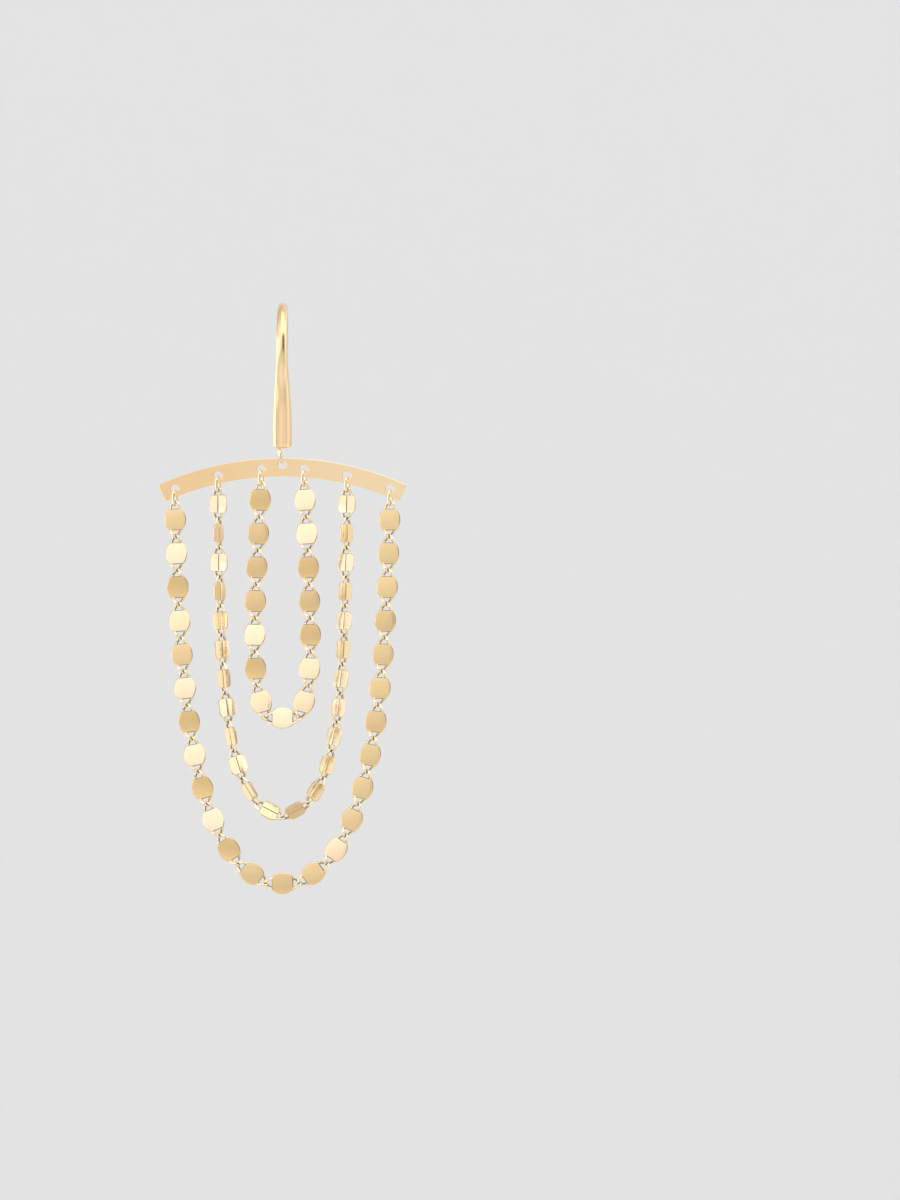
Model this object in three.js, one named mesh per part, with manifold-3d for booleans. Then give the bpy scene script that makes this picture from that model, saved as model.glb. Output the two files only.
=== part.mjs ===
// A chandelier earring: a swelling ear hook, an arched crossbar hung from the hook's eye,
// and three loops of mirror chain, one inside the other, each held by two end rings.
// Millimetres, +Z up. The origin is the underside of the hook's arch, where it hangs.
// The front faces -Y, the crossbar runs along X, and the hook bends in the YZ plane.

import * as THREE from 'three';
import { mergeVertices } from 'three/addons/utils/BufferGeometryUtils.js';
import Module from 'manifold-3d';

const wasm = await Module();
wasm.setup();

const RIGHT_ANGLE = Math.PI / 2;
const MERGE_TOLERANCE = 0.004;
const rad = THREE.MathUtils.degToRad;

// Ear hook: its centreline from the tail's tip over the arch to the foot of the body
const HOOK_LINE = [
  { y: 4.30, z: -14.05, diameter: 0.84 },
  { y: 3.66, z: -12.50, diameter: 0.86 },
  { y: 3.34, z: -10.40, diameter: 0.86 },
  { y: 3.38, z: -6.70, diameter: 0.88 },
  { y: 3.38, z: -3.20, diameter: 0.92 },
  { y: 2.90, z: -1.34, diameter: 0.97 },
  { y: 1.68, z: 0.02, diameter: 1.05 },
  { y: 0.00, z: 0.55, diameter: 1.10 },
  { y: -1.76, z: 0.00, diameter: 1.12 },
  { y: -3.02, z: -1.60, diameter: 1.16 },
  { y: -3.37, z: -3.45, diameter: 1.20 },
  { y: -3.06, z: -5.50, diameter: 1.30 },
  { y: -2.42, z: -7.36, diameter: 1.55 },
  { y: -1.62, z: -9.75, diameter: 1.90 },
  { y: -1.06, z: -11.92, diameter: 2.05 },
  { y: -0.88, z: -14.45, diameter: 2.05 },
];
const HOOK_SIDES = 10;
const HOOK_STEPS = 24;
const ROUND_STEPS = 3;
const TAIL_ROUNDING = 0.35;
const FOOT_ROUNDING = 0.75;
const BLUNT_END = 0.35;

// Eye soldered under the foot of the hook, a long loop in the hook's own plane
const DROP_Y = -0.88;
const EYE_TOP_Z = -14.50;
const EYE_RADIUS = 0.52;
const EYE_WIRE = 0.33;

// Crossbar: a flat arc plate with one hole above and six below
const BAR_TOP_Z = -15.64;
const BAR_OUTER_RADIUS = 32.6;
const BAR_HEIGHT = 1.95;
const BAR_THICKNESS = 0.40;
const BAR_HALF_ANGLE = rad(24.2);
const BAR_STEPS = 14;
const HOLE_RADIUS = 0.45;
const HOLE_SIDES = 8;
const TOP_HOLE_DEPTH = 0.65;
const LOWER_HOLE_RISE = 0.85;
const EYE_REST = 0.14;

// End rings, which hang in the lower holes and carry the chains
const RING_RADIUS = 0.50;
const RING_WIRE = 0.30;
const RING_TOP = -0.13;
const RING_BOTTOM = -1.74;
const RING_YAW = rad(20);
const LOOP_STEPS = 10;
const LOOP_SIDES = 5;

// Links: a pressed plate with a wire arch at each end, whose crown crosses its neighbour's.
// An arch is a few straight lengths of wire, so its curve is lifted above its crown.
const WIRE_RADIUS = 0.14;
const WIRE_SIDES = 5;
const ARCH_STEPS = 5;
const ARCH_ROOT = -0.06;
const ARCH_SHOULDER = 0.52;
const CROSSING = 0.085;
const PLATE_FULLNESS = 2.2;
const ARCH_GAP = 0.05;
const FLAT_LINK = {
  pitch: 3.63, joint: 1.48, width: 2.30, edgeWidth: 1.48, thickness: 0.30, notch: 0,
  legSpread: 0.57, tipSpread: 0.40, crownLift: 0.10, sideSteps: 4, twist: rad(45),
};
const SEAMED_LINK = {
  pitch: 3.13, joint: 1.16, width: 2.10, edgeWidth: 1.70, thickness: 0.30, notch: 0.30,
  legSpread: 0.50, tipSpread: 0.38, crownLift: 0.08, sideSteps: 3, twist: 0,
};

// Chains, outside to inside: half the span between their two holes, the number of links,
// how steeply the links turn upwards from the lowest one, and the turn of the seamed links
const CHAINS = [
  { name: 'outer_chain', link: FLAT_LINK, span: 11.57, links: 25, rise: 0.70 },
  { name: 'middle_chain', link: SEAMED_LINK, span: 6.94, links: 24, rise: 1.05 },
  { name: 'inner_chain', link: FLAT_LINK, span: 2.31, links: 15, rise: 2.40 },
];
const RISE_CURVE = 0.035;
const MOST_LEAN = rad(8);
const LEAN_PASSES = 40;
const SEAMED_TURNS = [
  { link: 1, degrees: 28 },
  { link: 5, degrees: 42 },
  { link: 10, degrees: 60 },
  { link: 13, degrees: 45 },
  { link: 21, degrees: 50 },
  { link: 24, degrees: 62 },
];

const GOLD = { color: 0xe6c58a, metalness: 1.0, roughness: 0.12 };
const PALE_GOLD = { color: 0xf3deb0, metalness: 1.0, roughness: 0.10 };

// A closed geometry as a solid, and back
function solid(geometry) {
  const bare = geometry.clone();
  bare.deleteAttribute('normal');
  bare.deleteAttribute('uv');
  const merged = mergeVertices(bare, 1e-5);
  return new wasm.Manifold(new wasm.Mesh({
    numProp: 3,
    tolerance: MERGE_TOLERANCE,
    vertProperties: new Float32Array(merged.attributes.position.array),
    triVerts: new Uint32Array(merged.index.array),
  }));
}

function geometryOf(body) {
  const mesh = body.getMesh();
  const geometry = new THREE.BufferGeometry();
  geometry.setAttribute('position', new THREE.BufferAttribute(mesh.vertProperties, 3));
  geometry.setIndex(new THREE.BufferAttribute(mesh.triVerts, 1));
  geometry.computeVertexNormals();
  return geometry;
}

function joined(parts) {
  return parts.reduce((sum, part) => sum.add(part));
}

function meshOf(name, geometry, finish) {
  const mesh = new THREE.Mesh(geometry, new THREE.MeshStandardMaterial(finish));
  mesh.name = name;
  return mesh;
}

// An upright loop of round wire in the YZ plane: a torus whose two halves are drawn apart
function longLoop(radius, wire, top, bottom) {
  const loop = new THREE.TorusGeometry(radius, wire / 2, LOOP_SIDES, LOOP_STEPS);
  loop.rotateZ(Math.PI / LOOP_STEPS);
  const stretch = (top - bottom) / 2 - radius;
  const places = loop.attributes.position;
  for (let i = 0; i < places.count; i += 1) {
    const height = places.getY(i);
    places.setY(i, height + Math.sign(height) * stretch);
  }
  loop.rotateX(RIGHT_ANGLE);
  loop.rotateZ(RIGHT_ANGLE);
  loop.translate(0, 0, (top + bottom) / 2);
  return loop;
}

// Ear hook: a cylinder laid along the centreline, with the table's diameters and round ends
function hookBody() {
  const line = new THREE.CatmullRomCurve3(HOOK_LINE.map((row) => new THREE.Vector3(0, row.y, row.z)));
  const girth = new THREE.SplineCurve(HOOK_LINE.map((row, i) => new THREE.Vector2(i, row.diameter / 2)));
  const length = line.getLength();
  const across = new THREE.Vector3(1, 0, 0);
  const tube = new THREE.CylinderGeometry(1, 1, 1, HOOK_SIDES, HOOK_STEPS);
  const places = tube.attributes.position;
  for (let i = 0; i < places.count; i += 1) {
    const along = hookStation(places.getY(i) + 0.5, length);
    const u = line.getUtoTmapping(along / length);
    const radius = girth.getPoint(u).y * endRounding(along, length);
    const tangent = line.getTangent(u);
    const outwards = across.clone().cross(tangent);
    const point = line.getPoint(u)
      .addScaledVector(across, places.getX(i) * radius)
      .addScaledVector(outwards, places.getZ(i) * radius);
    places.setXYZ(i, point.x, point.y, point.z);
  }
  return tube;
}

// Stations crowd together at the two ends, so that few rings make them round
function hookStation(share, length) {
  const step = Math.round(share * HOOK_STEPS);
  const fromFoot = HOOK_STEPS - step;
  if (step < ROUND_STEPS) {
    return TAIL_ROUNDING * (1 - Math.cos(RIGHT_ANGLE * step / ROUND_STEPS));
  }
  if (fromFoot < ROUND_STEPS) {
    return length - FOOT_ROUNDING * (1 - Math.cos(RIGHT_ANGLE * fromFoot / ROUND_STEPS));
  }
  const middle = (step - ROUND_STEPS) / (HOOK_STEPS - 2 * ROUND_STEPS);
  return THREE.MathUtils.lerp(TAIL_ROUNDING, length - FOOT_ROUNDING, middle);
}

// The share of the full radius left near a rounded end, which stays a little blunt
function endRounding(along, length) {
  const near = Math.min(along / TAIL_ROUNDING, (length - along) / FOOT_ROUNDING, 1);
  const round = Math.sqrt(Math.max(0, 1 - (1 - near) ** 2));
  return THREE.MathUtils.lerp(BLUNT_END, 1, round);
}

// Where the holes are, on the bar's own arc
const BAR_CENTRE_Z = BAR_TOP_Z - BAR_OUTER_RADIUS;
const TOP_HOLE_Z = BAR_TOP_Z - TOP_HOLE_DEPTH;
const LOWER_HOLE_RADIUS = BAR_OUTER_RADIUS - BAR_HEIGHT + LOWER_HOLE_RISE;
const EYE_BOTTOM_Z = TOP_HOLE_Z + EYE_REST;

function lowerHoleZ(x) {
  return BAR_CENTRE_Z + Math.sqrt(LOWER_HOLE_RADIUS ** 2 - x ** 2);
}

const RING_PLACES = CHAINS.flatMap(({ span }) => [-span, span]).sort((a, b) => a - b);

function crossbarPlate() {
  const start = RIGHT_ANGLE - BAR_HALF_ANGLE;
  const end = RIGHT_ANGLE + BAR_HALF_ANGLE;
  const plate = new THREE.Shape();
  plate.absarc(0, BAR_CENTRE_Z, BAR_OUTER_RADIUS, start, end, false);
  plate.absarc(0, BAR_CENTRE_Z, BAR_OUTER_RADIUS - BAR_HEIGHT, end, start, true);
  const profile = new THREE.Shape(plate.getPoints(BAR_STEPS / 2));
  const holes = [{ x: 0, z: TOP_HOLE_Z }, ...RING_PLACES.map((x) => ({ x, z: lowerHoleZ(x) }))];
  profile.holes = holes.map(({ x, z }) => {
    const rim = new THREE.Path();
    rim.absarc(x, z, HOLE_RADIUS, 0, 2 * Math.PI, true);
    return new THREE.Path(rim.getPoints(HOLE_SIDES / 2).slice(1));
  });
  const bar = new THREE.ExtrudeGeometry(profile, { depth: BAR_THICKNESS, bevelEnabled: false });
  bar.translate(0, 0, -BAR_THICKNESS / 2);
  return bar.rotateX(RIGHT_ANGLE);
}

// One link lies along its own Z, with its plate's width along X and its face along Y
function plateOf(link) {
  const halfLength = (link.pitch - link.joint) / 2;
  const outline = [];
  for (const side of [1, -1]) {
    for (let step = 0; step <= link.sideSteps; step += 1) {
      const share = 1 - 2 * step / link.sideSteps;
      const bulge = (link.width - link.edgeWidth) * (1 - Math.abs(share) ** PLATE_FULLNESS);
      outline.push(new THREE.Vector2(side * (link.edgeWidth + bulge) / 2, side * share * halfLength));
    }
    if (link.notch > 0) {
      outline.push(new THREE.Vector2(side * link.notch / 2, -side * halfLength));
      outline.push(new THREE.Vector2(0, -side * (halfLength - link.notch)));
      outline.push(new THREE.Vector2(-side * link.notch / 2, -side * halfLength));
    }
  }
  const plate = new THREE.ExtrudeGeometry(new THREE.Shape(outline), {
    depth: link.thickness, bevelEnabled: false,
  });
  plate.translate(0, 0, -link.thickness / 2);
  return plate.rotateX(RIGHT_ANGLE);
}

// A wire arch over one end of the plate, then turned about the link's length by its twist
function archOf(link, end, twist) {
  const edge = (link.pitch - link.joint) / 2;
  const reach = link.joint / 2 + CROSSING + link.crownLift;
  const shoulder = reach * ARCH_SHOULDER;
  const line = [
    { across: -link.legSpread, above: ARCH_ROOT },
    { across: -link.tipSpread, above: shoulder },
    { across: 0, above: reach },
    { across: link.tipSpread, above: shoulder },
    { across: link.legSpread, above: ARCH_ROOT },
  ];
  const path = new THREE.CatmullRomCurve3(
    line.map(({ across, above }) => new THREE.Vector3(across, 0, end * (edge + above))),
  );
  const section = new THREE.Shape(regularPolygon(WIRE_RADIUS, WIRE_SIDES, -end * RIGHT_ANGLE));
  const arch = new THREE.ExtrudeGeometry(section, { steps: ARCH_STEPS, extrudePath: path });
  const places = arch.attributes.position;
  for (let i = 0; i < places.count; i += 1) {
    const above = Math.abs(places.getZ(i)) - edge;
    const turn = twist * THREE.MathUtils.smoothstep(above, 0, shoulder);
    const x = places.getX(i) * Math.cos(turn) - places.getY(i) * Math.sin(turn);
    const y = places.getX(i) * Math.sin(turn) + places.getY(i) * Math.cos(turn);
    places.setXY(i, x, y);
  }
  return arch;
}

function regularPolygon(radius, sides, start) {
  return Array.from({ length: sides }, (_, i) => {
    const angle = start + 2 * Math.PI * i / sides;
    return new THREE.Vector2(radius * Math.cos(angle), radius * Math.sin(angle));
  });
}

// The links' own directions along a hanging chain, symmetric about its lowest point. Both
// strands lean by one small angle, found by halving, so that the chain spans its two holes.
function linkAngles(chain) {
  const middle = (chain.links - 1) / 2;
  const leaning = (lean) => Array.from({ length: chain.links }, (_, i) => {
    const u = chain.rise * (i - middle);
    return Math.atan(u + RISE_CURVE * u ** 3) + Math.sign(i - middle) * lean;
  });
  const width = (lean) => (
    chain.link.pitch * leaning(lean).reduce((sum, angle) => sum + Math.cos(angle), 0)
  );
  let low = -MOST_LEAN;
  let high = MOST_LEAN;
  for (let pass = 0; pass < LEAN_PASSES; pass += 1) {
    const trial = (low + high) / 2;
    if (width(trial) > 2 * chain.span) {
      low = trial;
    } else {
      high = trial;
    }
  }
  return leaning(low);
}

// A seamed link's turn about the chain, between the table's rows, a quarter turn on each time
function seamedTurn(number) {
  const after = SEAMED_TURNS.findIndex((row) => row.link >= number);
  const b = SEAMED_TURNS[after];
  const a = SEAMED_TURNS[Math.max(after - 1, 0)];
  const share = b.link > a.link ? (number - a.link) / (b.link - a.link) : 0;
  const quarter = number % 2 === 0 ? RIGHT_ANGLE : 0;
  return rad(THREE.MathUtils.lerp(a.degrees, b.degrees, share)) + quarter;
}

// A whole chain, link by link from its left end: each link's arches cross its neighbours'
function chainBody(chain) {
  const { link } = chain;
  const endTwist = link.twist > 0 ? RING_YAW : 0;
  const linkWith = (startTwist, finishTwist) => joined([
    solid(plateOf(link)), solid(archOf(link, -1, startTwist)), solid(archOf(link, 1, -finishTwist)),
  ]);
  const plainLink = linkWith(link.twist, link.twist);
  const firstLink = linkWith(endTwist, link.twist);
  const lastLink = linkWith(link.twist, endTwist);
  const topZ = lowerHoleZ(chain.span) + RING_BOTTOM + 2 * WIRE_RADIUS + ARCH_GAP - CROSSING;
  const cursor = new THREE.Vector3(-chain.span, 0, topZ);
  const parts = linkAngles(chain).map((angle, i) => {
    const along = new THREE.Vector3(Math.cos(angle), 0, Math.sin(angle));
    const centre = cursor.clone().addScaledVector(along, link.pitch / 2);
    cursor.addScaledVector(along, link.pitch);
    const turn = link.twist > 0 ? 0 : seamedTurn(i + 1);
    const place = new THREE.Matrix4()
      .makeRotationY(RIGHT_ANGLE - angle)
      .multiply(new THREE.Matrix4().makeRotationZ(turn))
      .setPosition(centre);
    const ends = { 0: firstLink, [chain.links - 1]: lastLink };
    return (ends[i] ?? plainLink).transform(place.toArray());
  });
  return joined(parts);
}

const earring = new THREE.Group();

const eye = longLoop(EYE_RADIUS, EYE_WIRE, EYE_TOP_Z, EYE_BOTTOM_Z);
eye.translate(0, DROP_Y, 0);
const hook = joined([solid(hookBody()), solid(eye)]);
earring.add(meshOf('ear_hook', geometryOf(hook), GOLD));

const drop = new THREE.Group();
drop.position.y = DROP_Y;
drop.add(meshOf('crossbar', crossbarPlate(), GOLD));
RING_PLACES.forEach((x, i) => {
  const ring = longLoop(RING_RADIUS, RING_WIRE, RING_TOP, RING_BOTTOM);
  const mesh = meshOf(`end_ring_${i + 1}`, ring, GOLD);
  mesh.position.set(x, 0, lowerHoleZ(x));
  mesh.rotation.z = -RING_YAW;
  drop.add(mesh);
});
for (const chain of CHAINS) {
  drop.add(meshOf(chain.name, geometryOf(chainBody(chain)), PALE_GOLD));
}
earring.add(drop);

export default earring;
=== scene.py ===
# %% [markdown]
# # A gold chandelier earring, dressed for its picture
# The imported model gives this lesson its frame: plain solids that already hang in the right
# places. Each step below makes one of the earring's pieces again with the detail that a
# jeweller would give it, lets it stand for its plain solid, and gives it a finish of gold.
# Sizes are written in millimetres, as a jeweller writes them, and become metres at the end.

# %% Load the frame
import math

import bmesh
import bpy
from mathutils import Matrix, Vector


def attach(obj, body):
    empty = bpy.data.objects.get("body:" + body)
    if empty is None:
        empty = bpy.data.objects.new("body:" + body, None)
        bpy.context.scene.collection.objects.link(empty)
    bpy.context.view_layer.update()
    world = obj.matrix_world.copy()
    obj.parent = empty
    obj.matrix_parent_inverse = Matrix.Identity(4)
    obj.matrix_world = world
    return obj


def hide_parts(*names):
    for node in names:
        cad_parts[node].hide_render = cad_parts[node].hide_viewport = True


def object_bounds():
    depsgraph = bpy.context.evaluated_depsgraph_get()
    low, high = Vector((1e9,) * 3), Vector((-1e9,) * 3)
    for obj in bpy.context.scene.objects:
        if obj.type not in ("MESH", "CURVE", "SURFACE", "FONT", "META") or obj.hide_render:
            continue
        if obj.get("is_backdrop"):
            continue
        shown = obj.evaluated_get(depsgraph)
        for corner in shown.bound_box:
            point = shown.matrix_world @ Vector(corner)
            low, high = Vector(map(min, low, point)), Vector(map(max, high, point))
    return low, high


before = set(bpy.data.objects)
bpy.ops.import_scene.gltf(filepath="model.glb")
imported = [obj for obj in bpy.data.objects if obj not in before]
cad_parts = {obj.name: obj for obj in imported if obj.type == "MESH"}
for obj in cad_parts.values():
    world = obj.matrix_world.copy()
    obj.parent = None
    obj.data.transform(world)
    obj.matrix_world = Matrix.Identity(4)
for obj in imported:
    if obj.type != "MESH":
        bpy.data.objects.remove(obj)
CAD_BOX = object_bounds()
MM = 0.001
print("size in mm:", [round((high - low) / MM, 2) for low, high in zip(*CAD_BOX)])

# %% [markdown]
# ## The camera
# The photograph was taken from straight ahead with a long lens, which keeps the chains
# upright and the bar flat. A camera that looks level along +Y does the same. Its distance
# follows from the lens: the picture is 129 mm high where the earring hangs. The earring hangs
# at the left of the picture, so the camera stands a little to the right of it.

# %% Camera
PICTURE_HEIGHT = 129.0
PICTURE_CENTRE = Vector((18.0, -0.88, -30.9))
LENS = 150.0
SENSOR = 36.0

lens = bpy.data.cameras.new("camera")
lens.sensor_fit = "VERTICAL"
lens.sensor_height = SENSOR
lens.lens = LENS
lens.clip_start = 0.01
camera = bpy.data.objects.new("camera", lens)
distance = PICTURE_HEIGHT * LENS / SENSOR
camera.location = (PICTURE_CENTRE - Vector((0, distance, 0))) * MM
camera.rotation_euler = (math.radians(90), 0, 0)
bpy.context.scene.collection.objects.link(camera)
bpy.context.scene.camera = camera
print("the camera stands", round(distance), "mm away")

# %% [markdown]
# ## The stage
# Jewellery is photographed in front of a sweep: one sheet of pale paper that lies flat and
# then curves up behind. An edge is drawn out for the floor, spun through a quarter turn for
# the curve and drawn out again for the wall, so the sheet has no seam. Its material is plain
# grey with a fine tooth, and it has no gloss, so no light shows on it.

# %% Paper
PAPER_GREY = 0.774
PAPER_ROUGHNESS = 0.9
TOOTH_SCALE = 900.0
TOOTH_STRENGTH = 0.02
TOOTH_DEPTH = 0.2


def plain_paper():
    """Pale paper with a fine tooth, for the stage alone."""
    paper = bpy.data.materials.new("pale_paper")
    paper.use_nodes = True
    nodes, links = paper.node_tree.nodes, paper.node_tree.links
    shader = nodes["Principled BSDF"]
    shader.inputs["Base Color"].default_value = (PAPER_GREY, PAPER_GREY, PAPER_GREY, 1)
    shader.inputs["Roughness"].default_value = PAPER_ROUGHNESS
    shader.inputs["Specular IOR Level"].default_value = 0.0
    tooth = nodes.new("ShaderNodeTexNoise")
    tooth.inputs["Scale"].default_value = TOOTH_SCALE
    bump = nodes.new("ShaderNodeBump")
    bump.inputs["Strength"].default_value = TOOTH_STRENGTH
    bump.inputs["Distance"].default_value = TOOTH_DEPTH * MM
    place = nodes.new("ShaderNodeTexCoord")
    links.new(place.outputs["Object"], tooth.inputs["Vector"])
    links.new(tooth.outputs["Fac"], bump.inputs["Height"])
    links.new(bump.outputs["Normal"], shader.inputs["Normal"])
    return paper


paper = plain_paper()
print("the sheet will be made of", paper.name)


# %% Drawing edges out
def draw_out(shape, edges, step):
    """Draws loose edges out into faces by one step, and returns the new edges."""
    grown = bmesh.ops.extrude_edge_only(shape, edges=edges)["geom"]
    moved = [part for part in grown if isinstance(part, bmesh.types.BMVert)]
    bmesh.ops.translate(shape, verts=moved, vec=step)
    return [part for part in grown if isinstance(part, bmesh.types.BMEdge)
            and all(corner in moved for corner in part.verts)]


trial = bmesh.new()
draw_out(trial, [trial.edges.new([trial.verts.new((x, 0, 0)) for x in (0, 1)])], (0, 1, 0))
print("an edge that is drawn out once makes", len(trial.faces), "face")
trial.free()

# %% Floor and backdrop
FLOOR_Z = -1000.0
SWEEP_FRONT_Y = -800.0
SWEEP_BACK_Y = 1500.0
SWEEP_RADIUS = 600.0
SWEEP_HALF_WIDTH = 1200.0
SWEEP_WALL = 1400.0
CURVE_STEPS = 24
SHEET_WELD = 0.01

sheet = bmesh.new()
corners = [sheet.verts.new((side * SWEEP_HALF_WIDTH, SWEEP_FRONT_Y, FLOOR_Z))
           for side in (-1, 1)]
front_edge = [sheet.edges.new(corners)]
curve_edge = draw_out(sheet, front_edge, (0, SWEEP_BACK_Y - SWEEP_RADIUS - SWEEP_FRONT_Y, 0))
spun = bmesh.ops.spin(
    sheet, geom=curve_edge + [v for edge in curve_edge for v in edge.verts],
    cent=(0, SWEEP_BACK_Y - SWEEP_RADIUS, FLOOR_Z + SWEEP_RADIUS),
    axis=(1, 0, 0), angle=math.radians(90), steps=CURVE_STEPS)
top_edge = [part for part in spun["geom_last"] if isinstance(part, bmesh.types.BMEdge)]
draw_out(sheet, top_edge, (0, 0, SWEEP_WALL))
bmesh.ops.remove_doubles(sheet, verts=sheet.verts, dist=SHEET_WELD)
bmesh.ops.recalc_face_normals(sheet, faces=sheet.faces)
bmesh.ops.scale(sheet, verts=sheet.verts, vec=(MM, MM, MM))
for face in sheet.faces:
    face.smooth = True
sweep_mesh = bpy.data.meshes.new("paper_sweep")
sheet.to_mesh(sweep_mesh)
sheet.free()
sweep_mesh.materials.append(paper)
paper_sweep = bpy.data.objects.new("paper_sweep", sweep_mesh)
bpy.context.scene.collection.objects.link(paper_sweep)
paper_sweep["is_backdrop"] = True
print("the sweep has", len(sweep_mesh.polygons), "faces")

# %% [markdown]
# ## The light
# Polished metal shows no shading of its own, only a picture of what stands round it. So the
# light is a room, drawn as shades that depend on the direction: pale walls all round that grow
# brighter upwards, and five soft-edged cards held up in it, as a jewellery photographer does.
# A bright strip at the left, a grey card above it, a white card beside the camera, a softbox
# overhead and a black card at the right. Level gold shows the wall and looks tan, gold that
# leans up looks cream, and a round wire shows all of it at once, as bright and dark lines.

# %% Shades and cards
AROUND_SHADES = ((-180, 0.84), (-150, 0.72), (-100, 0.84), (-60, 0.98), (-20, 1.05), (0, 1.0),
                 (14, 0.97), (60, 0.97), (67, 1.34), (98, 1.34), (108, 1.0), (117, 0.74),
                 (125, 0.96), (180, 0.84))  # degrees to the right of straight ahead, shade
UPWARD_SHADES = ((-90, 0.78), (-38, 0.96), (-22, 0.92), (-12, 0.71), (0, 0.86), (8, 0.98),
                 (13, 1.08), (18, 1.20), (26, 1.28), (36, 0.98), (48, 0.92), (62, 0.84),
                 (90, 1.1))  # degrees above the horizon, shade
CARDS = {  # where each fades in and out, in degrees around and upward, and its shade
    "bright strip": {"around": (-176, -160, -97, -87), "upward": (-75, -60, 3, 12), "shade": 1.7},
    "grey card": {"around": (-172, -150, -110, -96), "upward": (6, 14, 58, 72), "shade": 0.66},
    "white card": {"around": (-84, -74, -37, -27), "upward": (-14, -7, 8, 15), "shade": 1.7},
    "softbox": {"around": (-36, -22, 60, 78), "upward": (26, 36, 84, 90), "shade": 1.55},
    "black card": {"around": (10, 16, 56, 66), "upward": (-12, -5, 15, 23), "shade": 0.22},
}
print("held up in the room:", ", ".join(CARDS))


# %% Angles and ramps
def shade_ramp(nodes, links, angle, shades):
    """A ramp that turns an angle into a shade of grey, from a table in degrees."""
    first, last = shades[0][0], shades[-1][0]
    share = nodes.new("ShaderNodeMapRange")
    share.inputs["From Min"].default_value = math.radians(first)
    share.inputs["From Max"].default_value = math.radians(last)
    links.new(angle, share.inputs["Value"])
    ramp = nodes.new("ShaderNodeValToRGB")
    ramp.color_ramp.interpolation = "EASE"
    stops = ramp.color_ramp.elements
    while len(stops) < len(shades):
        stops.new(0.5)
    for stop, (degrees, shade) in zip(stops, shades):
        stop.position = (degrees - first) / (last - first)
        stop.color = (shade, shade, shade, 1)
    links.new(share.outputs["Result"], ramp.inputs["Fac"])
    return ramp.outputs["Color"]


def angle_of(nodes, links, kind, *sockets):
    """An angle from one or two parts of a direction."""
    angle = nodes.new("ShaderNodeMath")
    angle.operation = kind
    for source, socket in zip(sockets, angle.inputs):
        links.new(source, socket)
    return angle.outputs["Value"]


print("the walls' shades, straight ahead:", min(shade for _, shade in UPWARD_SHADES), "to",
      max(shade for _, shade in UPWARD_SHADES))


# %% Holding up a card
def hold_up(card, nodes, links, angles, behind):
    """Holds a card up in the room, with soft edges; returns the room with the card in it."""
    cover = nodes.new("ShaderNodeMath")
    cover.operation = "MULTIPLY"
    for socket, angle, name in zip(cover.inputs, angles, ("around", "upward")):
        start, full, fading, end = card[name]
        links.new(shade_ramp(nodes, links, angle, ((-180, 0), (start, 0), (full, 1), (fading, 1),
                                                   (end, 0), (180, 0))), socket)
    room_and_card = nodes.new("ShaderNodeMix")
    room_and_card.data_type = "RGBA"
    links.new(cover.outputs["Value"], room_and_card.inputs["Factor"])
    links.new(behind, room_and_card.inputs["A"])
    room_and_card.inputs["B"].default_value = (card["shade"], card["shade"], card["shade"], 1)
    return room_and_card.outputs["Result"]


print("the cards' widths in degrees:",
      [card["around"][-1] - card["around"][0] for card in CARDS.values()])

# %% [markdown]
# The world knows only the direction in which a ray leaves. Two angles come from it, the ramps
# turn them into shades, and the cards cover the walls one after another. Rays from the camera
# itself see a plain grey, so the cards show in the gold and nowhere else.

# %% Room of light
ROOM_GREY = 0.761

room = bpy.data.worlds.new("room")
room.use_nodes = True
bpy.context.scene.world = room
nodes, links = room.node_tree.nodes, room.node_tree.links
direction = nodes.new("ShaderNodeTexCoord")
parts = nodes.new("ShaderNodeSeparateXYZ")
links.new(direction.outputs["Generated"], parts.inputs["Vector"])
ahead = nodes.new("ShaderNodeMath")
ahead.operation = "MULTIPLY"
ahead.inputs[1].default_value = -1.0
links.new(parts.outputs["Y"], ahead.inputs[0])
directions = (angle_of(nodes, links, "ARCTAN2", parts.outputs["X"], ahead.outputs["Value"]),
              angle_of(nodes, links, "ARCSINE", parts.outputs["Z"]))
walls = nodes.new("ShaderNodeVectorMath")
walls.operation = "MULTIPLY"
for angle, table, socket in zip(directions, (AROUND_SHADES, UPWARD_SHADES), walls.inputs):
    links.new(shade_ramp(nodes, links, angle, table), socket)
surroundings = walls.outputs["Vector"]
for card in CARDS.values():
    surroundings = hold_up(card, nodes, links, directions, surroundings)
seen = nodes.new("ShaderNodeLightPath")
choice = nodes.new("ShaderNodeMix")
choice.data_type = "RGBA"
choice.inputs["B"].default_value = (ROOM_GREY, ROOM_GREY, ROOM_GREY, 1)
links.new(seen.outputs["Is Camera Ray"], choice.inputs["Factor"])
links.new(surroundings, choice.inputs["A"])
links.new(choice.outputs["Result"], nodes["Background"].inputs["Color"])

scene = bpy.context.scene
scene.view_settings.view_transform = "Standard"
scene.view_settings.look = "None"
print("light comes from", room.name)

# %% [markdown]
# ## The gold
# All of the earring is one yellow alloy, polished. What differs is how each piece was worked:
# the hook and bar are buffed by hand, the wire is drawn, and the chain's plates are pressed
# between polished rollers. So one recipe makes all three finishes. A slow noise shifts the
# alloy's colour, a quicker one leaves a faint wave in the surface, and a fine one leaves
# buffing marks and changes the gloss. The buffed gold also grows a little deeper from right
# to left. The chain's gold is multiplied by colours that each chain carries on its mesh: a tone
# for each link, some painted lighter as reflection and others darker as shade, and painted
# shade where links crowd together.

# %% The alloy's colour
WAVE_NOISE = (420.0, 2.0)  # scale, detail
GRAIN_NOISE = (9000.0, 4.0)
PATCH_NOISE = (110.0, 1.0)


def noise(nodes, links, place, scale, detail):
    """A noise in the coordinates of the object itself."""
    made = nodes.new("ShaderNodeTexNoise")
    made.inputs["Scale"].default_value = scale
    made.inputs["Detail"].default_value = detail
    links.new(place, made.inputs["Vector"])
    return made.outputs["Fac"]


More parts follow.
